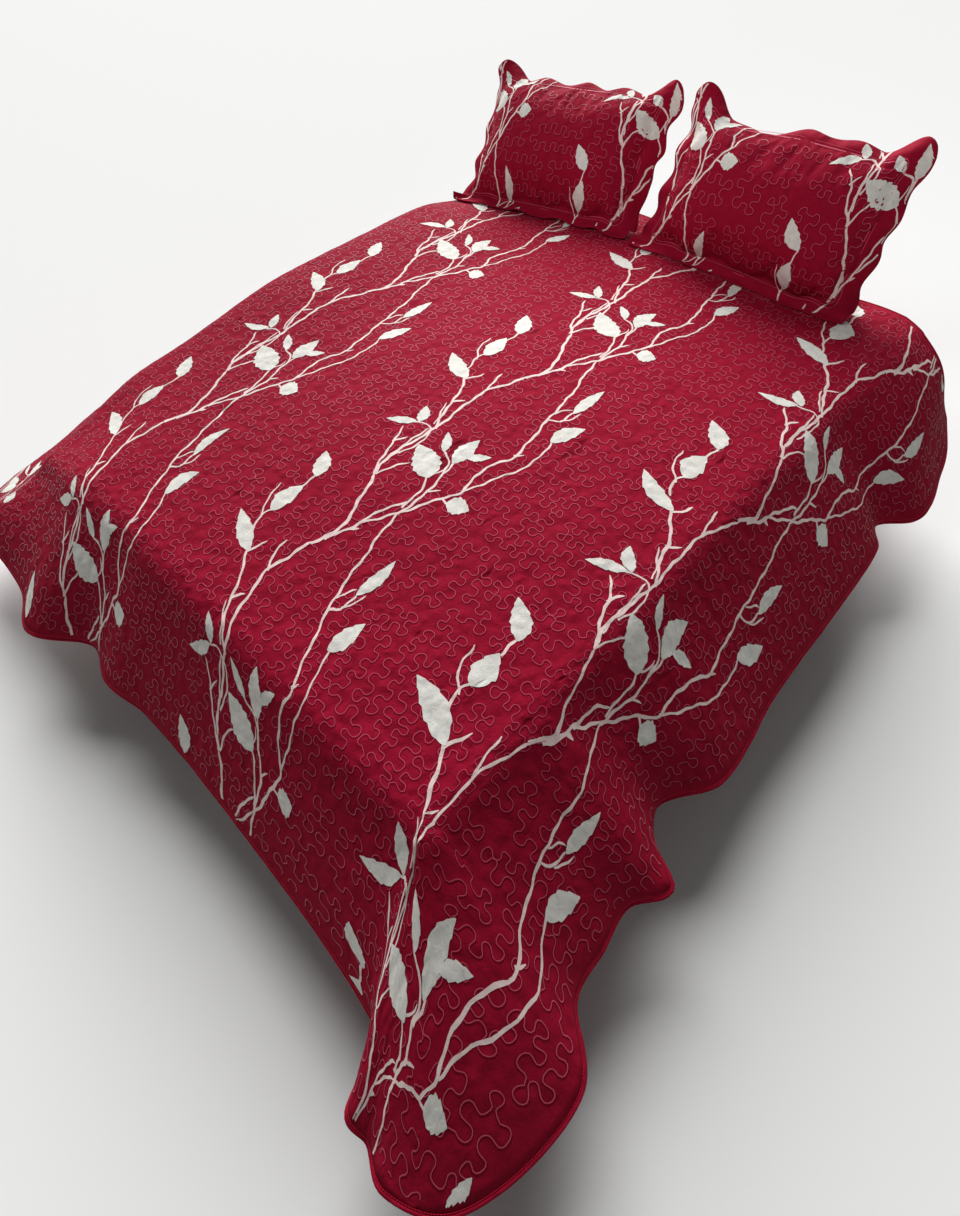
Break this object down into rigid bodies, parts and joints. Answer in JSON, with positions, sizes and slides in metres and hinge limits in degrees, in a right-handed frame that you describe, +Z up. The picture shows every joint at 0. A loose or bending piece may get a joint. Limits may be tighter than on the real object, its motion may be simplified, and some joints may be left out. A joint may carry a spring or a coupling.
{
  "type": "quilt set on a bed",
  "caption": "Quilted bedspread draped over a plain bed, hanging in soft folds at the foot and sides, with filled flanged shams leaning at the head.",
  "frame": {"origin": "on the floor under the middle of the bed's plinth, on the bed's centre line", "axes": "+Z up, +Y from the foot of the bed to its head, +X to the right as seen from the foot"},
  "size_m": [2.5761, 2.6739, 1.0354],
  "materials": {
    "quilted_cotton": "matte quilted cotton, printed",
    "cotton_binding": "matte rolled cotton edge",
    "mattress_ticking": "matte woven",
    "base_fabric": "matte woven",
    "painted_wood": "satin paint"
  },
  "bodies": {
    "root": {"quilt": "quilted_cotton", "quilt_binding": "cotton_binding", "sham_left": "quilted_cotton", "sham_right": "quilted_cotton", "mattress": "mattress_ticking", "bed_base": "base_fabric", "bed_plinth": "painted_wood"}
  },
  "joints": []
}
